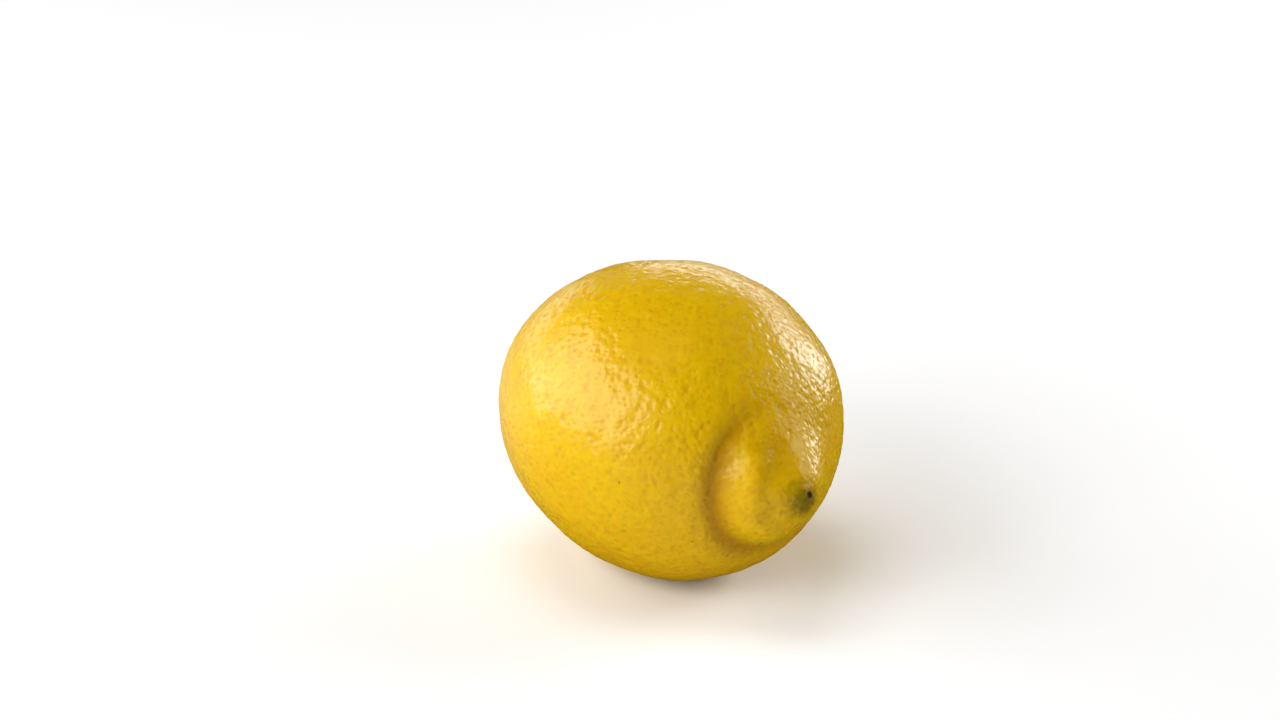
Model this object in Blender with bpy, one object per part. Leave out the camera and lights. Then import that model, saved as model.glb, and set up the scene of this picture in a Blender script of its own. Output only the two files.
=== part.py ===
"""A whole lemon lying on its side: the fruit with its nipple, and the woody button at the stem end.

The long axis runs along X with the nipple at +X. The origin is the middle of the flat spot that the
fruit rests on, and +Z is up. Lengths are in metres.
"""

import math

import bmesh
import bpy
from mathutils import Matrix, Vector

# The body of the fruit.
BODY_RADIUS = 0.0310  # mean radius at the widest place
NOSE_HALF = 0.0366  # from the widest place to the plain body's nose end
STEM_HALF = 0.0362  # from the widest place to the plain body's stem end
OVALNESS = 0.018  # how much wider than tall the cross-section is, as a share of the radius
LOBING = 0.022  # three faint rounded corners in the cross-section, as a share of the radius
LOBE_TURN = math.radians(30)  # turns the corners so that one of them points straight down
FLAT_DEPTH = 0.0006  # how far the skin is flattened where the fruit rests

# The nipple at the nose end: a cone with a blunt bud, on a mound with a ridge and a furrow on one side.
NIPPLE_Y = -0.0022  # the nipple's axis stands a little off the body's axis
NIPPLE_Z = -0.0017
CONE_HEIGHT = 0.0038
CONE_WIDTH = 0.0076
BUD_HEIGHT = 0.0010
BUD_WIDTH = 0.0032
MOUND_Y = -0.0010
MOUND_Z = -0.0010
MOUND_HEIGHT = 0.0029
MOUND_RADIUS = 0.0140
MOUND_TURN = math.radians(188)  # the side where the mound is narrowest, turning from +Y towards +Z
MOUND_NARROW = 0.90  # how much narrower it is there than across
MOUND_STEEP = 0.0050  # width of the mound's wall on the furrow's side
MOUND_SOFT = 0.0115  # and on the other side
RIDGE_HEIGHT = 0.0005
RIDGE_RADIUS = 0.0104
RIDGE_WIDTH = 0.0022
FURROW_TURN = math.radians(194)  # the side that the furrow is on
FURROW_BESIDE = 0.45  # how strong the furrow and the ridge are a quarter turn away from that side
FURROW_SWING = 0.75  # how quickly they fade from one side to the other
FURROW_DEPTH = 0.0014
FURROW_RADIUS = 0.0136
FURROW_INSIDE = 0.0019  # width of the furrow on the mound's side of its bottom
FURROW_OUTSIDE = 0.0024  # and on the other side
DENTS = ((-0.0050, 0.0070, 0.0012, 0.0034), (-0.0068, -0.0040, 0.0005, 0.0030))  # y, z, depth and width

# The neck at the stem end.
NECK_HEIGHT = 0.0022
NECK_WIDTH = 0.0090
RIB_COUNT = 7
RIB_DEPTH = 0.0004
RIB_RADIUS = 0.0085
RIB_WIDTH = 0.0035

# The button and its seat.
BUTTON_RADIUS = 0.0046
BUTTON_TOP_RADIUS = 0.0034
BUTTON_THICKNESS = 0.0016
BUTTON_LOBES = 5
LOBE_DEPTH = 0.0007
STALK_RADIUS = 0.0017
STALK_LENGTH = 0.0020
SEAT_DEPTH = 0.0014
CLEARANCE = 0.0003  # gap between the button and its seat

# Fineness of the mesh.
AROUND = 64
ALONG = 46
NOSE_CROWDING = 0.45  # how much closer together the rings stand at the nose
BUTTON_SEGMENTS = 60
STALK_SEGMENTS = 28
FRUIT_SHARP_ANGLE = math.radians(50)  # edges that bend more than this stay sharp
SHARP_ANGLE = math.radians(30)  # the same for the button and the cutters

PEEL_COLOUR = (0.80, 0.50, 0.02)
PEEL_ROUGHNESS = 0.38
CALYX_COLOUR = (0.16, 0.11, 0.04)
CALYX_ROUGHNESS = 0.85


def clear_scene():
    for old in list(bpy.data.objects):
        bpy.data.objects.remove(old)


def make_collection(name):
    made = bpy.data.collections.new(name)
    bpy.context.scene.collection.children.link(made)
    return made


def make_material(name, colour, roughness):
    material = bpy.data.materials.new(name)
    material.use_nodes = True
    shader = material.node_tree.nodes["Principled BSDF"]
    shader.inputs["Base Color"].default_value = (*colour, 1.0)
    shader.inputs["Roughness"].default_value = roughness
    shader.inputs["Metallic"].default_value = 0.0
    return material


def peel_material():
    return make_material("peel", PEEL_COLOUR, PEEL_ROUGHNESS)


def button_material():
    return make_material("dry_calyx", CALYX_COLOUR, CALYX_ROUGHNESS)


def add_object(name, mesh, collection, material=None):
    made = bpy.data.objects.new(name, mesh)
    collection.objects.link(made)
    if material is not None:
        mesh.materials.append(material)
    return made


def mesh_from(name, bm, smooth_angle):
    mesh = bpy.data.meshes.new(name)
    bm.to_mesh(mesh)
    bm.free()
    mesh.shade_smooth()
    mesh.set_sharp_from_angle(angle=smooth_angle)
    return mesh


def make_cutter(name, mesh, collection):
    cutter = add_object(name, mesh, collection)
    cutter.hide_render = True
    cutter.display_type = "WIRE"
    return cutter


def add_boolean(target, tool, operation):
    boolean = target.modifiers.new(tool.name, "BOOLEAN")
    boolean.object = tool
    boolean.operation = operation
    boolean.solver = "EXACT"


def smooth_step(share):
    held = min(max(share, 0.0), 1.0)
    return held * held * (3.0 - 2.0 * held)


def bell(distance, width):
    return math.exp(-((distance / width) ** 2))


def section_scale(lean, turn):
    """How far the skin stands from the axis at this turn, against the mean radius."""
    lobes = math.cos(3.0 * (turn - LOBE_TURN))
    return 1.0 + OVALNESS * math.cos(2.0 * turn) + LOBING * math.sin(lean) * lobes


def body_point(lean, turn):
    """The plain body: lean is 0 at the nose and pi at the stem, and turn goes from +Y towards +Z."""
    half = NOSE_HALF if math.cos(lean) > 0.0 else STEM_HALF
    radius = BODY_RADIUS * math.sin(lean) * section_scale(lean, turn)
    return Vector((half * math.cos(lean), radius * math.cos(turn), radius * math.sin(turn)))


def nose_relief(y, z):
    """Height that the nipple, its mound, ridge, furrow and dents add along +X."""
    from_tip = math.hypot(y - NIPPLE_Y, z - NIPPLE_Z)
    cone = CONE_HEIGHT * bell(from_tip, CONE_WIDTH) + BUD_HEIGHT * bell(from_tip, BUD_WIDTH)
    turn = math.atan2(z - MOUND_Z, y - MOUND_Y)
    along = turn - MOUND_TURN
    oval = math.hypot(math.cos(along), MOUND_NARROW * math.sin(along))
    radius = math.hypot(y - MOUND_Y, z - MOUND_Z) * oval
    facing = smooth_step(FURROW_BESIDE + FURROW_SWING * math.cos(turn - FURROW_TURN))
    wall = MOUND_SOFT + (MOUND_STEEP - MOUND_SOFT) * facing
    mound = MOUND_HEIGHT * smooth_step((MOUND_RADIUS - radius) / wall)
    ridge = RIDGE_HEIGHT * facing * bell(radius - RIDGE_RADIUS, RIDGE_WIDTH)
    furrow_width = FURROW_OUTSIDE if radius > FURROW_RADIUS else FURROW_INSIDE
    furrow = FURROW_DEPTH * facing * bell(radius - FURROW_RADIUS, furrow_width)
    dents = sum(depth * bell(math.hypot(y - at_y, z - at_z), width) for at_y, at_z, depth, width in DENTS)
    return cone + mound + ridge - furrow - dents


def stem_relief(y, z):
    """Height that the neck and its ribs add along -X."""
    radius = math.hypot(y, z)
    turn = math.atan2(z, y)
    ribs = RIB_DEPTH * bell(radius - RIB_RADIUS, RIB_WIDTH) * math.cos(RIB_COUNT * turn)
    return NECK_HEIGHT * bell(radius, NECK_WIDTH) + ribs


def fruit_point(lean, turn):
    point = body_point(lean, turn)
    if point.x > 0.0:
        point.x += nose_relief(point.y, point.z)
    else:
        point.x -= stem_relief(point.y, point.z)
    return point


def axis_height():
    """Height of the fruit's axis over the flat spot."""
    lowest = body_point(math.pi / 2, -math.pi / 2)
    return -lowest.z - FLAT_DEPTH


def crowded(lean):
    """Moves the sphere's rings towards the nose, where the relief is finest."""
    return lean - NOSE_CROWDING * math.sin(lean) * (1.0 + math.cos(lean)) / 2.0


def make_fruit(collection, material):
    bm = bmesh.new()
    bmesh.ops.create_uvsphere(bm, u_segments=AROUND, v_segments=ALONG, radius=1.0)
    for vertex in bm.verts:
        lean = crowded(math.acos(min(max(vertex.co.z, -1.0), 1.0)))
        turn = math.atan2(vertex.co.y, vertex.co.x)
        vertex.co = fruit_point(lean, turn) + Vector((0.0, 0.0, axis_height()))
    bmesh.ops.recalc_face_normals(bm, faces=bm.faces)
    return add_object("fruit", mesh_from("fruit", bm, FRUIT_SHARP_ANGLE), collection, material)


def make_floor_cutter(collection):
    """A slab whose top is the plane that the fruit rests on."""
    length = 2.0 * (NOSE_HALF + STEM_HALF)
    thickness = BODY_RADIUS
    bm = bmesh.new()
    bmesh.ops.create_cube(bm, size=1.0)
    bmesh.ops.scale(bm, vec=(length, length, thickness), verts=bm.verts)
    bmesh.ops.translate(bm, vec=(0.0, 0.0, -thickness / 2.0), verts=bm.verts)
    return make_cutter("resting_plane", mesh_from("resting_plane", bm, SHARP_ANGLE), collection)


def round_bar(bm, radius_start, radius_end, start_x, end_x, segments):
    """A round bar or cone along -X, from start_x to end_x, on the fruit's axis."""
    length = start_x - end_x
    made = bmesh.ops.create_cone(
        bm, cap_ends=True, segments=segments, radius1=radius_start, radius2=radius_end, depth=length
    )
    lay_down = Matrix.Rotation(-math.pi / 2, 4, "Y")  # turns +Z to -X
    place = Matrix.Translation(((start_x + end_x) / 2.0, 0.0, axis_height()))
    bmesh.ops.transform(bm, matrix=place @ lay_down, verts=made["verts"])
    return made["verts"]


def stem_end_x():
    return -(STEM_HALF + NECK_HEIGHT)


def seat_floor_x():
    return stem_end_x() + SEAT_DEPTH


def make_seat_cutter(collection):
    """The shallow round seat that the button stands in."""
    bm = bmesh.new()
    radius = BUTTON_RADIUS + CLEARANCE
    outside_x = stem_end_x() - SEAT_DEPTH
    round_bar(bm, radius, radius, seat_floor_x(), outside_x, BUTTON_SEGMENTS)
    return make_cutter("button_seat", mesh_from("button_seat", bm, SHARP_ANGLE), collection)


def make_button(collection, cutters, material):
    """A lobed plate, wider where it sits on the fruit, with the cut stalk standing out of it."""
    plate_start_x = seat_floor_x() - CLEARANCE
    plate_end_x = plate_start_x - BUTTON_THICKNESS
    bm = bmesh.new()
    plate = round_bar(bm, BUTTON_RADIUS, BUTTON_TOP_RADIUS, plate_start_x, plate_end_x, BUTTON_SEGMENTS)
    for vertex in plate:
        across = Vector((0.0, vertex.co.y, vertex.co.z - axis_height()))
        turn = math.atan2(across.z, across.y)
        notch = LOBE_DEPTH * (1.0 - math.cos(BUTTON_LOBES * turn)) / 2.0
        vertex.co -= across.normalized() * notch
    button_mesh = mesh_from("stem_button", bm, SHARP_ANGLE)
    button = add_object("stem_button", button_mesh, collection, material)

    bm = bmesh.new()
    inside_x = plate_start_x - BUTTON_THICKNESS / 2.0
    round_bar(bm, STALK_RADIUS, STALK_RADIUS, inside_x, plate_end_x - STALK_LENGTH, STALK_SEGMENTS)
    stalk = make_cutter("stalk", mesh_from("stalk", bm, SHARP_ANGLE), cutters)
    add_boolean(button, stalk, "UNION")
    return button


def main():
    clear_scene()
    lemon = make_collection("lemon")
    cutters = make_collection("cutters")
    fruit = make_fruit(lemon, peel_material())
    add_boolean(fruit, make_floor_cutter(cutters), "DIFFERENCE")
    add_boolean(fruit, make_seat_cutter(cutters), "DIFFERENCE")
    make_button(lemon, cutters, button_material())


main()
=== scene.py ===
import math

import bpy
import numpy as np
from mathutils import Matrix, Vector


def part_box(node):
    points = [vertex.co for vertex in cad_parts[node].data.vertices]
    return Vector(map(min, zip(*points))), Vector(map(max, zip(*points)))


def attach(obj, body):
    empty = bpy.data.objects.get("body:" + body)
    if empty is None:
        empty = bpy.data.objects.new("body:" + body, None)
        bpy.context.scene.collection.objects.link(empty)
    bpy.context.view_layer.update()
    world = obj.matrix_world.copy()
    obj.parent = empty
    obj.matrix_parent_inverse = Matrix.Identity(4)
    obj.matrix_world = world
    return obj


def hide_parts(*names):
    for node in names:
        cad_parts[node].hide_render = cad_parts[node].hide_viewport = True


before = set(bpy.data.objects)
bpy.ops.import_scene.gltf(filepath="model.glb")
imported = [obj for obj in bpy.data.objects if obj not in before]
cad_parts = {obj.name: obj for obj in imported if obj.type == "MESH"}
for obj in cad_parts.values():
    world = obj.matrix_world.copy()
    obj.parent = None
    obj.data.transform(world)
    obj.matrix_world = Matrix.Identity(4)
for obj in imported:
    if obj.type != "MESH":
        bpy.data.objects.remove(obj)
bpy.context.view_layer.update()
buttonLow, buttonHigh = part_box("stem_button")
print("frame loaded:", sorted(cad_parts))


def smoothStep(share):  # 3t^2 - 2t^3, held between 0 and 1
    held = np.clip(share, 0.0, 1.0)
    return held * held * (3.0 - 2.0 * held)


def bell(distance, width):  # exp(-(distance / width)^2)
    return np.exp(-((distance / width) ** 2))


rippleWaves = {"count": 48, "shortest": 0.75, "longest": 1.35}  # lengths against the wavelength asked for


def ripple(points, wavelength, seed):
    # A smooth random height of spread 1: the sum of many cosines of about this wavelength, each in its own
    # random direction.
    count = rippleWaves["count"]
    random = np.random.default_rng(seed)
    direction = random.normal(size=(count, 3))
    direction /= np.linalg.norm(direction, axis=1)[:, None]
    length = wavelength * random.uniform(rippleWaves["shortest"], rippleWaves["longest"], count)
    phase = random.uniform(0.0, 2.0 * math.pi, count)
    waves = np.cos(points @ (2.0 * math.pi * direction / length[:, None]).T + phase)
    return waves.sum(axis=-1) * math.sqrt(2.0 / count)


def meshFromGrids(name, grids, joinDistance):
    # Each grid is rows x columns of points, and points that meet along edges and at poles become one.
    points, quads, start = [], [], 0
    for grid in grids:
        rows, columns = grid.shape[:2]
        index = start + np.arange(rows * columns).reshape(rows, columns)
        corners = (index[:-1, :-1], index[1:, :-1], index[1:, 1:], index[:-1, 1:])
        quads.append(np.stack([c.ravel() for c in corners], axis=1))
        points.append(grid.reshape(-1, 3))
        start += rows * columns
    points, quads = np.concatenate(points), np.concatenate(quads)
    keys = np.round(points / joinDistance).astype(np.int64)
    first, back = np.unique(keys, axis=0, return_index=True, return_inverse=True)[1:]
    mesh = bpy.data.meshes.new(name)
    mesh.from_pydata(points[first], [], back.reshape(-1)[quads])
    mesh.validate()
    mesh.shade_smooth()
    return mesh


def getVectors(items, name):
    flat = np.empty(len(items) * 3, np.float32)
    items.foreach_get(name, flat)
    return flat.reshape(-1, 3).astype(float)


def setPoints(mesh, points):
    mesh.vertices.foreach_set("co", points.astype(np.float32).ravel())
    mesh.update()


def setAttribute(mesh, name, domain, values):
    kind, part = ("FLOAT_VECTOR", "vector") if values.ndim == 2 else ("FLOAT", "value")
    made = mesh.attributes.new(name, kind, domain)
    made.data.foreach_set(part, values.astype(np.float32).ravel())


def addPiece(name, mesh, material, node):
    piece = bpy.data.objects.new(name, mesh)
    bpy.context.scene.collection.objects.link(piece)
    mesh.materials.append(material)
    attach(piece, "root")
    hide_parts(node)


def addNode(tree, kind, **values):
    node = tree.nodes.new(kind)
    for name, value in values.items():
        setattr(node, name, value)
    return node


def feed(tree, socket, value):
    # A socket as value is linked, and anything else is set.
    if isinstance(value, bpy.types.NodeSocket):
        tree.links.new(value, socket)
    else:
        socket.default_value = (*value, 1.0) if socket.type == "RGBA" else value


def maths(tree, operation, *values):
    node = addNode(tree, "ShaderNodeMath", operation=operation)
    for socket, value in zip(node.inputs, values):
        feed(tree, socket, value)
    return node.outputs[0]


def distanceBetween(tree, first, second):
    node = addNode(tree, "ShaderNodeVectorMath", operation="DISTANCE")
    feed(tree, node.inputs[0], first)
    feed(tree, node.inputs[1], second)
    return node.outputs["Value"]


def partOf(tree, mask, part):  # the mask, weakened to this share
    return maths(tree, "MULTIPLY", mask, part)


def fade(tree, value, fromValue, toValue):  # 0 at fromValue, 1 at toValue and smooth between
    node = addNode(tree, "ShaderNodeMapRange", interpolation_type="SMOOTHSTEP")
    feed(tree, node.inputs["Value"], value)
    feed(tree, node.inputs["From Min"], fromValue)
    feed(tree, node.inputs["From Max"], toValue)
    return node.outputs["Result"]


def mixColour(tree, share, first, second):
    node = addNode(tree, "ShaderNodeMix", data_type="RGBA")
    sockets = [s for s in node.inputs if s.enabled]
    for socket, value in zip(sockets, (share, first, second)):
        feed(tree, socket, value)
    return [s for s in node.outputs if s.enabled][0]


def attribute(tree, name, output="Fac"):
    return addNode(tree, "ShaderNodeAttribute", attribute_name=name).outputs[output]


def newGroup(name, inputs, output):
    tree = bpy.data.node_groups.new(name, "ShaderNodeTree")
    for label, kind in inputs.items():
        tree.interface.new_socket(name=label, in_out="INPUT", socket_type=kind)
    tree.interface.new_socket(name=output, in_out="OUTPUT", socket_type="NodeSocketFloat")
    return tree, tree.nodes.new("NodeGroupInput").outputs, tree.nodes.new("NodeGroupOutput").inputs


patternFades = {"mottle": (0.32, 0.68), "speck": (0.30, 0.12)}  # noise height, and distance in cells


def makeMottle():
    # Smooth noise stretched so that it runs from 0 in the hollows to 1 on the crests.
    inputs = {"Position": "NodeSocketVector", "Scale": "NodeSocketFloat", "Detail": "NodeSocketFloat"}
    tree, given, result = newGroup("mottle", inputs, "Value")
    noise = addNode(tree, "ShaderNodeTexNoise")
    for name in ("Scale", "Detail"):
        tree.links.new(given[name], noise.inputs[name])
    tree.links.new(given["Position"], noise.inputs["Vector"])
    tree.links.new(fade(tree, noise.outputs["Fac"], *patternFades["mottle"]), result["Value"])
    return tree


def makeSpecks():
    # Round specks, one at the heart of each chosen cell of a scattered pattern.
    inputs = {"Position": "NodeSocketVector", "Scale": "NodeSocketFloat", "Share": "NodeSocketFloat"}
    tree, given, result = newGroup("specks", inputs, "Mask")
    cells = addNode(tree, "ShaderNodeTexVoronoi")
    tree.links.new(given["Position"], cells.inputs["Vector"])
    tree.links.new(given["Scale"], cells.inputs["Scale"])
    chance = addNode(tree, "ShaderNodeSeparateColor")
    tree.links.new(cells.outputs["Color"], chance.inputs["Color"])
    chosen = maths(tree, "LESS_THAN", chance.outputs["Red"], given["Share"])
    speck = fade(tree, cells.outputs["Distance"], *patternFades["speck"])
    tree.links.new(maths(tree, "MULTIPLY", chosen, speck), result["Mask"])
    return tree


mottleGroup = makeMottle()
speckGroup = makeSpecks()


def mottle(tree, position, scale, detail=2.0):
    node = addNode(tree, "ShaderNodeGroup", node_tree=mottleGroup)
    for name, value in (("Position", position), ("Scale", scale), ("Detail", detail)):
        feed(tree, node.inputs[name], value)
    return node.outputs["Value"]


def specks(tree, position, scale, share):
    node = addNode(tree, "ShaderNodeGroup", node_tree=speckGroup)
    for name, value in (("Position", position), ("Scale", scale), ("Share", share)):
        feed(tree, node.inputs[name], value)
    return node.outputs["Mask"]


fruitShape = {
    "gridCount": 128,  # squares along an edge of each of the six grids
    "joinDistance": 2e-6,
    "noseCrowding": 0.35,  # how much closer together the points stand at the nose
    "bodyRadius": 0.0310,
    "noseHalf": 0.0366,
    "stemHalf": 0.0362,
    "ovalness": 0.018,
    "lobing": 0.022,
    "lobeTurn": math.radians(30),
    "flatDepth": 0.0006,
    "flatFade": 0.0006,  # height over the floor where the ripples and pits are whole
    "nippleY": -0.0022,
    "nippleZ": -0.0017,
    "coneHeight": 0.0038,
    "coneWidth": 0.0076,
    "budHeight": 0.0010,
    "budWidth": 0.0032,
    "moundY": -0.0010,
    "moundZ": -0.0010,
    "moundHeight": 0.0029,
    "moundRadius": 0.0140,
    "moundTurn": math.radians(188),
    "moundNarrow": 0.90,
    "moundSteep": 0.0050,
    "moundSoft": 0.0115,
    "ridgeHeight": 0.0005,
    "ridgeRadius": 0.0104,
    "ridgeWidth": 0.0022,
    "furrowTurn": math.radians(194),
    "furrowBeside": 0.45,  # its strength a quarter turn away, before smoothing
    "furrowSwing": 0.75,  # and how much it changes from there to the sides ahead and behind
    "furrowDepth": 0.0014,
    "furrowRadius": 0.0136,
    "furrowInside": 0.0019,
    "furrowOutside": 0.0024,
    "dents": ((-0.0050, 0.0070, 0.0012, 0.0034), (-0.0068, -0.0040, 0.0005, 0.0030)),  # y, z, depth, width
    "dentShade": 0.40,  # how far the first dent takes the furrow's painted shade and tint
    "scarY": -0.0013,
    "scarZ": -0.0003,
    "scarDepth": 0.00035,
    "scarWidth": 0.00055,
    "neckHeight": 0.0022,
    "neckWidth": 0.0090,
    "ribCount": 7,
    "ribDepth": 0.0004,
    "ribRadius": 0.0085,
    "ribWidth": 0.0035,
    "seatClearance": 0.0003,
    "seatWall": 0.0006,
    "seatFade": 0.0010,  # distance outside the seat where the ripples and pits are whole
    "rippleSizes": (0.0016, 0.0030, 0.0070, 0.0170),
    "rippleHeights": (0.000016, 0.000026, 0.000026, 0.00008),
    "rippleSeed": 20,
    "poreCount": 9400,
    "poreSeed": 7,
    "poreJitter": 0.0080,  # on a ball of radius 1
    "poreRadius": 0.00030,
    "poreSpread": 0.40,  # spread of the logarithm of the radius
    "poreReach": 0.0035,  # pores farther than this along X are not compared
    "poreBands": 120,
    "pitDepth": 0.000030,
    "pitWidth": 1.25,  # against the pore's radius
}


def axisHeight():
    s = fruitShape
    return s["bodyRadius"] * (1.0 - s["ovalness"] + s["lobing"]) - s["flatDepth"]


def noseRelief(y, z):
    # Height along +X: mound (a smooth step down over its wall) + cone and bud (bells of the distance from
    # the tip) + ridge - furrow (bells of the distance from their rings, on one side only) - dents and scar.
    # With it comes a mask of painted shade and deeper orange tint: 1 at the bottom of the furrow, less in
    # the dents.
    s = fruitShape
    fromTip = np.hypot(y - s["nippleY"], z - s["nippleZ"])
    across, up = y - s["moundY"], z - s["moundZ"]
    turn = np.arctan2(up, across)
    along = turn - s["moundTurn"]
    radius = np.hypot(across, up) * np.hypot(np.cos(along), s["moundNarrow"] * np.sin(along))
    facing = smoothStep(s["furrowBeside"] + s["furrowSwing"] * np.cos(turn - s["furrowTurn"]))
    wall = s["moundSoft"] + (s["moundSteep"] - s["moundSoft"]) * facing
    height = s["moundHeight"] * smoothStep((s["moundRadius"] - radius) / wall)
    height += s["coneHeight"] * bell(fromTip, s["coneWidth"])
    height += s["budHeight"] * bell(fromTip, s["budWidth"])
    height += s["ridgeHeight"] * facing * bell(radius - s["ridgeRadius"], s["ridgeWidth"])
    furrowWidth = np.where(radius > s["furrowRadius"], s["furrowOutside"], s["furrowInside"])
    furrow = facing * bell(radius - s["furrowRadius"], furrowWidth)
    dents = 0.0
    for dentY, dentZ, depth, width in s["dents"]:
        dents = dents + depth * bell(np.hypot(y - dentY, z - dentZ), width)
    scar = bell(np.hypot(y - s["scarY"], z - s["scarZ"]), s["scarWidth"])
    height -= s["furrowDepth"] * furrow + dents + s["scarDepth"] * scar
    firstDepth = s["dents"][0][2]
    return height, np.maximum(furrow**2, s["dentShade"] * dents / firstDepth)


def stemRelief(y, z):
    # Height along -X: a bell round the axis + ribs, a cosine of the turn inside a ring.
    s = fruitShape
    radius, turn = np.hypot(y, z), np.arctan2(z, y)
    ribs = s["ribDepth"] * bell(radius - s["ribRadius"], s["ribWidth"]) * np.cos(s["ribCount"] * turn)
    return s["neckHeight"] * bell(radius, s["neckWidth"]) + ribs


def fruitSurface(direction):
    # x = half * cos(lean) + relief, and y and z = radius * section * sin(lean) round the axis, where lean is
    # the angle from the nose. z stops at the floor, and in the button's seat x goes to the seat's floor.
    s = fruitShape
    lean = np.arccos(np.clip(direction[..., 0], -1.0, 1.0))
    lean = lean - s["noseCrowding"] * np.sin(lean) * (1.0 + np.cos(lean)) / 2.0
    turn = np.arctan2(direction[..., 2], direction[..., 1])
    half = np.where(np.cos(lean) > 0, s["noseHalf"], s["stemHalf"])
    lobes = np.cos(3.0 * (turn - s["lobeTurn"]))
    section = 1.0 + s["ovalness"] * np.cos(2.0 * turn) + s["lobing"] * np.sin(lean) * lobes
    radius = s["bodyRadius"] * np.sin(lean) * section
    x, y, z = half * np.cos(lean), radius * np.cos(turn), radius * np.sin(turn)
    x = np.where(x > 0, x + noseRelief(y, z)[0], x - stemRelief(y, z))
    inSeat = smoothStep((seatRadius() - radius) / s["seatWall"]) * (x < 0)
    x += (buttonHigh.x + s["seatClearance"] - x) * inSeat
    return np.stack([x, y, np.maximum(z + axisHeight(), 0.0)], axis=-1)


def seatRadius():
    return buttonHigh.y + fruitShape["seatClearance"] + fruitShape["seatWall"]


def cubeSphere(count):
    # Six square grids over a ball: 1, tan(u) and tan(v) for each face, brought to unit length.
    spread = np.tan(np.linspace(-math.pi / 4, math.pi / 4, count + 1))
    u, v = np.meshgrid(spread, spread, indexing="ij")
    one = np.ones_like(u)
    faces = [(one, u, v), (-one, v, u), (v, one, u), (u, -one, v), (u, v, one), (v, u, -one)]
    return np.stack([np.stack(f, axis=-1) / np.sqrt(1 + u * u + v * v)[..., None] for f in faces])


def placePores():
    # On a ball, pore i stands at height 1 - (2i + 1) / count, a golden angle further round than the last,
    # and is then moved a little at random.
    s = fruitShape
    random = np.random.default_rng(s["poreSeed"])
    number = np.arange(s["poreCount"])
    height = 1.0 - (2.0 * number + 1.0) / s["poreCount"]
    turn = number * math.pi * (3.0 - math.sqrt(5.0))
    ring = np.sqrt(1.0 - height * height)
    points = np.stack([height, ring * np.cos(turn), ring * np.sin(turn)], axis=-1)
    points += random.normal(size=points.shape) * s["poreJitter"]
    points /= np.linalg.norm(points, axis=1)[:, None]
    radius = s["poreRadius"] * np.exp(random.normal(0.0, s["poreSpread"], s["poreCount"]))
    return fruitSurface(points), radius


def findPores(points, pores, count):
    # The nearest few pores to each point: bands along X, each compared only with the pores within its reach.
    s = fruitShape
    nearest = np.empty((len(points), count), int)
    for band in np.array_split(np.argsort(points[:, 0]), s["poreBands"]):
        low, high = points[band[0], 0] - s["poreReach"], points[band[-1], 0] + s["poreReach"]
        near = np.flatnonzero((pores[:, 0] > low) & (pores[:, 0] < high))
        gap = ((points[band][:, None] - pores[near]) ** 2).sum(axis=2)
        nearest[band] = near[np.argpartition(gap, count, axis=1)[:, :count]]
    return nearest


def skinMask(points):  # 0 on the flat spot and in the button's seat, 1 elsewhere
    s = fruitShape
    fromAxis = np.hypot(points[:, 1], points[:, 2] - axisHeight())
    outside = smoothStep((fromAxis - seatRadius()) / s["seatFade"])
    return smoothStep(points[:, 2] / s["flatFade"]) * np.where(points[:, 0] < 0, outside, 1.0)


poreNames = ("poreA", "poreB", "poreC")


def addRelief(mesh):
    # Each point moves along its normal by the sum of the ripples - a bell for each of its nearest pores.
    # The material gets the places and radii of the pores nearest to each face.
    s = fruitShape
    points, normals = getVectors(mesh.vertices, "co"), getVectors(mesh.vertex_normals, "vector")
    pores, radius = placePores()
    nearest = findPores(points, pores, len(poreNames))
    gap = np.linalg.norm(points[:, None] - pores[nearest], axis=2)
    height = -s["pitDepth"] * bell(gap, s["pitWidth"] * radius[nearest]).sum(axis=1)
    for number, (size, rise) in enumerate(zip(s["rippleSizes"], s["rippleHeights"])):
        height += rise * ripple(points, size, s["rippleSeed"] + number)
    # The furrow and dents beside the nipple get a mask of painted shade, with a deeper orange tint, for the
    # peel's colour.
    creaseShadeAndTint = noseRelief(points[:, 1], points[:, 2] - axisHeight())[1] * (points[:, 0] > 0)
    setPoints(mesh, points + normals * (height * skinMask(points))[:, None])
    setAttribute(mesh, "creaseShadeAndTint", "POINT", creaseShadeAndTint)

    faceCentres = getVectors(mesh.polygons, "center")
    nearest = findPores(faceCentres, pores, len(poreNames))
    for number, name in enumerate(poreNames):
        setAttribute(mesh, name, "FACE", pores[nearest[:, number]])
    setAttribute(mesh, "poreRadii", "FACE", radius[nearest])


peelFinish = {
    "ground": (0.69, 0.442, 0.0015),
    "deepGround": (0.66, 0.390, 0.0010),
    "poreColour": (0.52, 0.230, 0.0008),
    # Painted shade, darker and a deeper orange, for the furrow and dents beside the nipple.
    "creaseShadeAndTintColour": (0.36, 0.155, 0.0008),
    "green": (0.16, 0.115, 0.0015),
    "scar": (0.030, 0.011, 0.001),
    "speckColour": (0.16, 0.060, 0.006),
    "patchScale": 60.0,
    "patchShare": 0.6,
    "mottleScale": 420.0,
    "mottleShare": 0.15,
    "poreShare": 0.26,
    "creaseShadeAndTintShare": 0.75,
    "greenMove": (0.0, -0.0013, -0.0009),  # from the tip's pore to the middle of the green
    "greenScale": 900.0,
    "greenDetail": 3.0,
    "greenRagged": 0.0011,
    "greenFade": (0.0066, 0.0010),  # distances at which the green starts and is whole
    "greenShare": 0.92,
    "stemFade": (0.012, 0.005),
    "stemShare": 0.35,
    "speckScale": 800.0,
    "speckChance": 0.006,
    "speckShare": 0.8,
    "scarRagged": 0.0002,
    "scarFade": (0.00105, 0.00060),
    "grainScale": 1500.0,
    "patchRoughness": 0.05,  # how much rougher than the rest
    "poreRoughness": 0.05,
    "scarRoughness": 0.6,
    "roughness": 0.24,
    "specular": 0.5,
    "scatter": 0.60,
    "scatterRadius": (1.0, 0.45, 0.06),
    "scatterScale": 0.0018,
    "pitDepth": 0.000060,
    "grainHeight": 0.000006,
}


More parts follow.
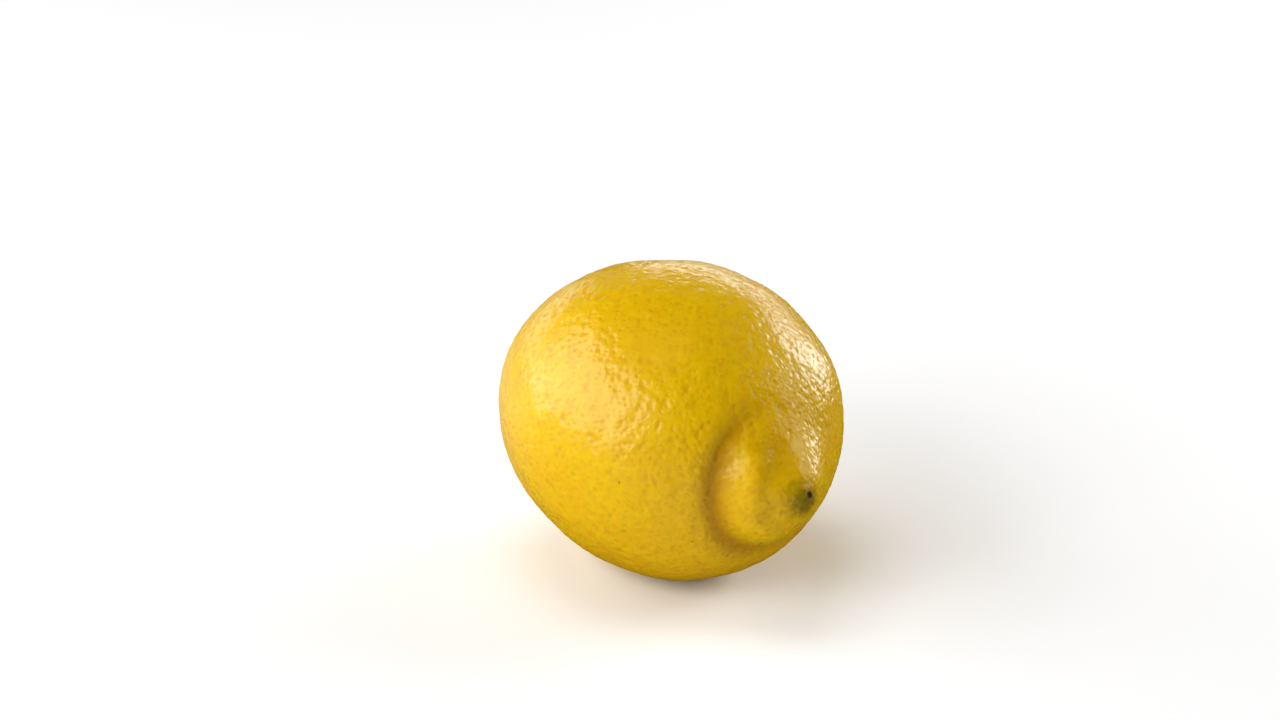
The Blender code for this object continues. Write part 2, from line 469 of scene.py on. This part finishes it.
def nosePoint(y, z):
    s = fruitShape
    x = s["noseHalf"] * math.sqrt(1.0 - (y * y + z * z) / s["bodyRadius"] ** 2) + float(noseRelief(y, z)[0])
    return Vector((x, y, z + axisHeight()))


def makePeel():
    f = peelFinish
    material = bpy.data.materials.new("peel")
    material.use_nodes = True
    tree = material.node_tree
    shader = tree.nodes["Principled BSDF"]
    position = addNode(tree, "ShaderNodeTexCoord").outputs["Object"]

    radii = addNode(tree, "ShaderNodeSeparateXYZ")
    tree.links.new(attribute(tree, "poreRadii", "Vector"), radii.inputs[0])
    pits, sunk = 0.0, 0.0
    for name, radius in zip(poreNames, radii.outputs):
        gap = distanceBetween(tree, position, attribute(tree, name, "Vector"))
        ratio = maths(tree, "DIVIDE", gap, radius)
        square = maths(tree, "MULTIPLY", ratio, ratio)
        pit = maths(tree, "EXPONENT", maths(tree, "MULTIPLY", square, -1.0))
        pits = maths(tree, "ADD", pit, pits)
        sunk = maths(tree, "MULTIPLY_ADD", pit, radius, sunk)

    broad = mottle(tree, position, f["patchScale"])
    small = mottle(tree, position, f["mottleScale"])
    colour = mixColour(tree, partOf(tree, broad, f["patchShare"]), f["ground"], f["deepGround"])
    colour = mixColour(tree, partOf(tree, small, f["mottleShare"]), colour, f["poreColour"])
    colour = mixColour(tree, partOf(tree, pits, f["poreShare"]), colour, f["poreColour"])
    # Painted shade in the furrow and dents beside the nipple, with a deeper orange tint.
    creaseShadeAndTint = attribute(tree, "creaseShadeAndTint")
    colour = mixColour(tree, partOf(tree, creaseShadeAndTint, f["creaseShadeAndTintShare"]), colour, f["creaseShadeAndTintColour"])

    tip = nosePoint(fruitShape["scarY"], fruitShape["scarZ"])
    toGreen = distanceBetween(tree, position, tuple(tip + Vector(f["greenMove"])))
    edge = mottle(tree, position, f["greenScale"], f["greenDetail"])
    green = fade(tree, maths(tree, "MULTIPLY_ADD", edge, f["greenRagged"], toGreen), *f["greenFade"])
    colour = mixColour(tree, partOf(tree, green, f["greenShare"]), colour, f["green"])
    toStem = distanceBetween(tree, position, (buttonHigh.x, 0.0, axisHeight()))
    stemTint = fade(tree, toStem, *f["stemFade"])
    colour = mixColour(tree, partOf(tree, stemTint, f["stemShare"]), colour, f["green"])
    spots = specks(tree, position, f["speckScale"], f["speckChance"])
    colour = mixColour(tree, partOf(tree, spots, f["speckShare"]), colour, f["speckColour"])
    toTip = distanceBetween(tree, position, tuple(tip))
    scar = fade(tree, maths(tree, "MULTIPLY_ADD", small, f["scarRagged"], toTip), *f["scarFade"])
    colour = mixColour(tree, scar, colour, f["scar"])
    tree.links.new(colour, shader.inputs["Base Color"])

    grain = mottle(tree, position, f["grainScale"])
    height = maths(tree, "MULTIPLY", grain, f["grainHeight"])
    height = maths(tree, "MULTIPLY_ADD", sunk, -f["pitDepth"] / fruitShape["poreRadius"], height)
    bump = addNode(tree, "ShaderNodeBump")
    feed(tree, bump.inputs["Strength"], 1.0)
    feed(tree, bump.inputs["Distance"], 1.0)
    tree.links.new(height, bump.inputs["Height"])
    tree.links.new(bump.outputs["Normal"], shader.inputs["Normal"])

    roughness = maths(tree, "MULTIPLY_ADD", broad, f["patchRoughness"], f["roughness"])
    roughness = maths(tree, "MULTIPLY_ADD", pits, f["poreRoughness"], roughness)
    roughness = maths(tree, "MULTIPLY_ADD", scar, f["scarRoughness"], roughness)
    tree.links.new(roughness, shader.inputs["Roughness"])
    feed(tree, shader.inputs["Specular IOR Level"], f["specular"])
    feed(tree, shader.inputs["Subsurface Weight"], f["scatter"])
    feed(tree, shader.inputs["Subsurface Radius"], f["scatterRadius"])
    feed(tree, shader.inputs["Subsurface Scale"], f["scatterScale"])
    return material


fruitGrids = fruitSurface(cubeSphere(fruitShape["gridCount"]))
fruitMesh = meshFromGrids("lemon_fruit", fruitGrids, fruitShape["joinDistance"])
addRelief(fruitMesh)
addPiece("lemon_fruit", fruitMesh, makePeel(), "fruit")
print("fruit made:", len(fruitMesh.vertices), "points")

buttonShape = {
    "around": 200,
    "along": 110,
    "joinDistance": 2e-7,
    "plateFade": (0.40, 0.85),  # shares of the plate's radius at which the sepals start and are whole
    "stalkFade": (0.36, 0.51),  # shares of the length at which the stalk's ribs start and are whole
    "stalkMiddle": 0.2,  # share of the plate's radius at which the ribs are whole, from none at the axis
    "sepals": 5,
    "notch": 0.28,
    "notchPower": 1.5,
    "curl": 0.00035,
    "curlStart": 0.03,  # shares of the length
    "fibreStart": 0.12,
    "fibreCount": 43,
    "fibreHeight": 0.00005,
    "fibreTwist": 3.0,
    "stalkRibs": 9,
    "stalkRibHeight": 0.00009,
    "stalkTwist": 4.0,
    "wear": ((0.00005, 0.0011, 41), (0.00002, 0.0004, 42)),  # height, wavelength and seed of each ripple
    "wearFade": 0.0004,
    # Shares of the plate's radius and of the length, from the middle of the underside to the cut end's.
    "profile": (
        (0.00, 0.00), (0.62, 0.00), (0.90, 0.03), (1.00, 0.10), (0.95, 0.19), (0.78, 0.29), (0.58, 0.36),
        (0.44, 0.46), (0.37, 0.62), (0.355, 0.82), (0.37, 0.93), (0.345, 0.985), (0.26, 0.975), (0.12, 0.95),
        (0.00, 0.94),
    ),
}


def smoothCurve(points, count):
    # Each stretch is a cubic, and the slope at a point is half the step between the points beside it.
    points = np.asarray(points)
    slope = np.gradient(points, axis=0)
    place = np.linspace(0.0, len(points) - 1.0, count)
    start = np.minimum(place.astype(int), len(points) - 2)
    t = (place - start)[:, None]
    a, b = points[start], points[start + 1]
    bend = (2 * t**3 - 3 * t**2 + 1) * a + (3 * t**2 - 2 * t**3) * b
    return bend + (t**3 - 2 * t**2 + t) * slope[start] + (t**3 - t**2) * slope[start + 1]


def buttonSurface():
    # A profile of (radius, height) carried round the axis. The sepals are notched by a cosine of the turn
    # and curled up at their tips by the cube of the radius, and their fibres and the stalk's ribs are
    # cosines of the turn.
    b = buttonShape
    plateRadius, length = buttonHigh.y, buttonHigh.x - buttonLow.x
    radius, rise = smoothCurve(b["profile"], b["along"]).T[:, :, None]
    turn = np.linspace(0.0, 2.0 * math.pi, b["around"] + 1)[None, :]
    onPlate = smoothStep((radius - b["plateFade"][0]) / np.ptp(b["plateFade"]))
    onStalk = smoothStep((rise - b["stalkFade"][0]) / np.ptp(b["stalkFade"]))
    onStalk = onStalk * smoothStep(radius / b["stalkMiddle"])
    between = (1.0 - np.cos(b["sepals"] * turn)) / 2.0
    notched = 1.0 - b["notch"] * onPlate * between ** b["notchPower"]
    size = plateRadius * np.clip(radius, 0.0, 1.0) * notched
    size = size + onStalk * b["stalkRibHeight"] * np.cos(b["stalkRibs"] * turn + b["stalkTwist"] * rise)
    curled = onPlate * (1.0 - between) * radius**3 * (rise > b["curlStart"])
    fibres = onPlate * (rise > b["fibreStart"]) * np.cos(b["fibreCount"] * turn + b["fibreTwist"] * radius)
    outward = length * np.clip(rise, 0.0, 1.0) + b["curl"] * curled + b["fibreHeight"] * fibres
    y, z = size * np.cos(turn), size * np.sin(turn)
    return np.stack([buttonHigh.x - outward, y, z + axisHeight()], axis=-1)


def addButtonWear(mesh):
    # Each point moves along its normal by two ripples, except on the underside.
    points, normals = getVectors(mesh.vertices, "co"), getVectors(mesh.vertex_normals, "vector")
    height = sum(rise * ripple(points, wavelength, seed) for rise, wavelength, seed in buttonShape["wear"])
    free = smoothStep((buttonHigh.x - points[:, 0]) / buttonShape["wearFade"])
    setPoints(mesh, points + normals * (height * free)[:, None])


calyxFinish = {
    "brown": (0.115, 0.062, 0.020),
    "olive": (0.150, 0.125, 0.035),
    "cutEnd": (0.34, 0.235, 0.115),
    "crack": (0.025, 0.014, 0.006),
    "patchScale": 500.0,
    "patchDetail": 3.0,
    "grainScale": 3200.0,
    "grainDetail": 4.0,
    "grainShare": 0.45,
    "speckScale": 1500.0,
    "speckChance": 0.10,
    "speckShare": 0.7,
    "cutFade": (0.00035, 0.00015),  # distances from the stalk's end where the paler colour starts, is whole
    "cutShare": 0.8,
    "patchRoughness": 0.1,
    "roughness": 0.82,
    "specular": 0.3,
    "fibreBump": 0.00006,
}


def makeDryCalyx():
    f = calyxFinish
    material = bpy.data.materials.new("dryCalyx")
    material.use_nodes = True
    tree = material.node_tree
    shader = tree.nodes["Principled BSDF"]
    position = addNode(tree, "ShaderNodeTexCoord").outputs["Object"]
    patches = mottle(tree, position, f["patchScale"], f["patchDetail"])
    grain = mottle(tree, position, f["grainScale"], f["grainDetail"])
    colour = mixColour(tree, patches, f["brown"], f["olive"])
    colour = mixColour(tree, partOf(tree, grain, f["grainShare"]), colour, f["crack"])
    spots = specks(tree, position, f["speckScale"], f["speckChance"])
    colour = mixColour(tree, partOf(tree, spots, f["speckShare"]), colour, f["crack"])
    place = addNode(tree, "ShaderNodeSeparateXYZ")
    tree.links.new(position, place.inputs[0])
    cut = fade(tree, place.outputs["X"], *(buttonLow.x + away for away in f["cutFade"]))
    colour = mixColour(tree, partOf(tree, cut, f["cutShare"]), colour, f["cutEnd"])
    tree.links.new(colour, shader.inputs["Base Color"])
    bump = addNode(tree, "ShaderNodeBump")
    feed(tree, bump.inputs["Distance"], 1.0)
    tree.links.new(maths(tree, "MULTIPLY", grain, f["fibreBump"]), bump.inputs["Height"])
    tree.links.new(bump.outputs["Normal"], shader.inputs["Normal"])
    roughness = maths(tree, "MULTIPLY_ADD", patches, f["patchRoughness"], f["roughness"])
    tree.links.new(roughness, shader.inputs["Roughness"])
    feed(tree, shader.inputs["Specular IOR Level"], f["specular"])
    return material


buttonMesh = meshFromGrids("lemon_stem_button", [buttonSurface()], buttonShape["joinDistance"])
addButtonWear(buttonMesh)
addPiece("lemon_stem_button", buttonMesh, makeDryCalyx(), "stem_button")
print("stem button made:", len(buttonMesh.vertices), "points")

studio = {
    "cameraTurn": 51.7,
    "cameraRise": 23.6,
    "cameraDistance": 0.900,
    "lens": 130.0,
    "sensorWidth": 36.0,
    "clipStart": 0.01,
    "clipEnd": 30.0,
    "aimRight": -0.0058,
    "aimUp": 0.0111,
    "floorRadius": 0.80,
    "floorWhite": 0.90,
    "floorRoughness": 0.9,
    "floorMirrored": 0.003,
    "cardMirrored": 0.45,
    "cardPlace": (-0.16, -0.13),  # right of the fruit, and from it towards the camera
    "cardFade": (0.20, 0.07),  # distances from that place at which it starts and is whole
    "worldLight": 0.008,
    "worldSeen": 0.95,
    # name: ((right, up, towards the camera), distance, width, height, watts, mirrored)
    "lights": {
        "key": ((-0.87, 0.34, 0.32), 0.6, 0.90, 0.58, 4.5, True),
        "side": ((-0.70, 0.40, -0.58), 0.7, 0.90, 0.20, 0.7, True),
        "fill": ((-0.50, 0.12, 0.84), 0.8, 0.50, 0.50, 2.9, False),
        "top": ((-0.15, 0.92, 0.36), 0.8, 0.45, 0.45, 2.2, False),
        "rightRear": ((0.72, 0.42, -0.56), 0.8, 0.28, 0.60, 3.5, True),
        "right": ((0.88, 0.42, -0.15), 0.8, 0.30, 0.40, 2.7, False),
        "rightSoft": ((0.86, 0.46, 0.12), 0.8, 0.22, 0.30, 0.55, True),
        "rear": ((0.20, 0.56, -0.80), 0.8, 0.45, 0.14, 0.8, True),
    },
}


def cameraAxes():
    turn, rise = math.radians(studio["cameraTurn"]), math.radians(studio["cameraRise"])
    back = Vector((math.sin(turn) * math.cos(rise), -math.cos(turn) * math.cos(rise), math.sin(rise)))
    right = Vector((math.cos(turn), math.sin(turn), 0.0))
    return right, back.cross(right), back


def addCamera(centre):
    right, up, back = cameraAxes()
    camera = bpy.data.objects.new("camera", bpy.data.cameras.new("camera"))
    camera.data.lens = studio["lens"]
    camera.data.sensor_width = studio["sensorWidth"]
    camera.data.clip_start = studio["clipStart"]
    camera.data.clip_end = studio["clipEnd"]
    target = centre + right * studio["aimRight"] + up * studio["aimUp"]
    camera.location = target + back * studio["cameraDistance"]
    camera.rotation_mode = "QUATERNION"
    camera.rotation_quaternion = (-back).to_track_quat("-Z", "Y")
    bpy.context.scene.collection.objects.link(camera)
    bpy.context.scene.camera = camera


def addSoftBox(name, centre, direction, distance, width, height, power, mirrored):
    right, up, back = cameraAxes()
    towards = (right * direction[0] + up * direction[1] + back * direction[2]).normalized()
    light = bpy.data.lights.new(name, "AREA")
    light.shape = "RECTANGLE"
    light.size = width
    light.size_y = height
    light.energy = power
    box = bpy.data.objects.new(name, light)
    box.visible_glossy = mirrored  # whether the peel shows the box as a highlight
    box.location = centre + towards * distance
    box.rotation_mode = "QUATERNION"
    box.rotation_quaternion = towards.to_track_quat("Z", "Y")
    bpy.context.scene.collection.objects.link(box)


def addFloor():
    material = bpy.data.materials.new("floor")
    material.use_nodes = True
    tree = material.node_tree
    shader = tree.nodes["Principled BSDF"]
    # The peel mirrors a dark floor, which keeps its lower side rich, and a pale card behind it on the left.
    mirrored = addNode(tree, "ShaderNodeLightPath").outputs["Is Glossy Ray"]
    position = addNode(tree, "ShaderNodeTexCoord").outputs["Object"]
    right, _, back = cameraAxes()
    away, along = Vector((back.x, back.y, 0.0)).normalized(), studio["cardPlace"]
    place = right * along[0] + away * along[1]
    card = fade(tree, distanceBetween(tree, position, tuple(place)), *studio["cardFade"])
    white = (studio["floorWhite"],) * 3
    shown = mixColour(tree, card, (studio["floorMirrored"],) * 3, (studio["cardMirrored"],) * 3)
    tree.links.new(mixColour(tree, mirrored, white, shown), shader.inputs["Base Color"])
    shader.inputs["Roughness"].default_value = studio["floorRoughness"]
    shader.inputs["Specular IOR Level"].default_value = 0.0
    bpy.ops.mesh.primitive_circle_add(vertices=64, radius=studio["floorRadius"], fill_type="NGON")
    floor = bpy.context.active_object
    floor.name = "floor"
    floor.data.materials.append(material)


def addWorld():
    world = bpy.data.worlds.new("world")
    bpy.context.scene.world = world
    world.use_nodes = True
    tree = world.node_tree
    background = tree.nodes["Background"]
    background.inputs["Color"].default_value = (1.0, 1.0, 1.0, 1.0)
    # Where the camera sees the world itself, past the floor's edge, it is as pale as the floor.
    seen = addNode(tree, "ShaderNodeLightPath").outputs["Is Camera Ray"]
    strength = maths(tree, "MULTIPLY_ADD", seen, studio["worldSeen"], studio["worldLight"])
    tree.links.new(strength, background.inputs["Strength"])


middle = Vector((0.0, 0.0, axisHeight()))
addCamera(middle)
for name, settings in studio["lights"].items():
    addSoftBox(name, middle, *settings)
addFloor()
addWorld()
bpy.context.scene.view_settings.view_transform = "Standard"
bpy.context.scene.view_settings.look = "None"
print("studio made")
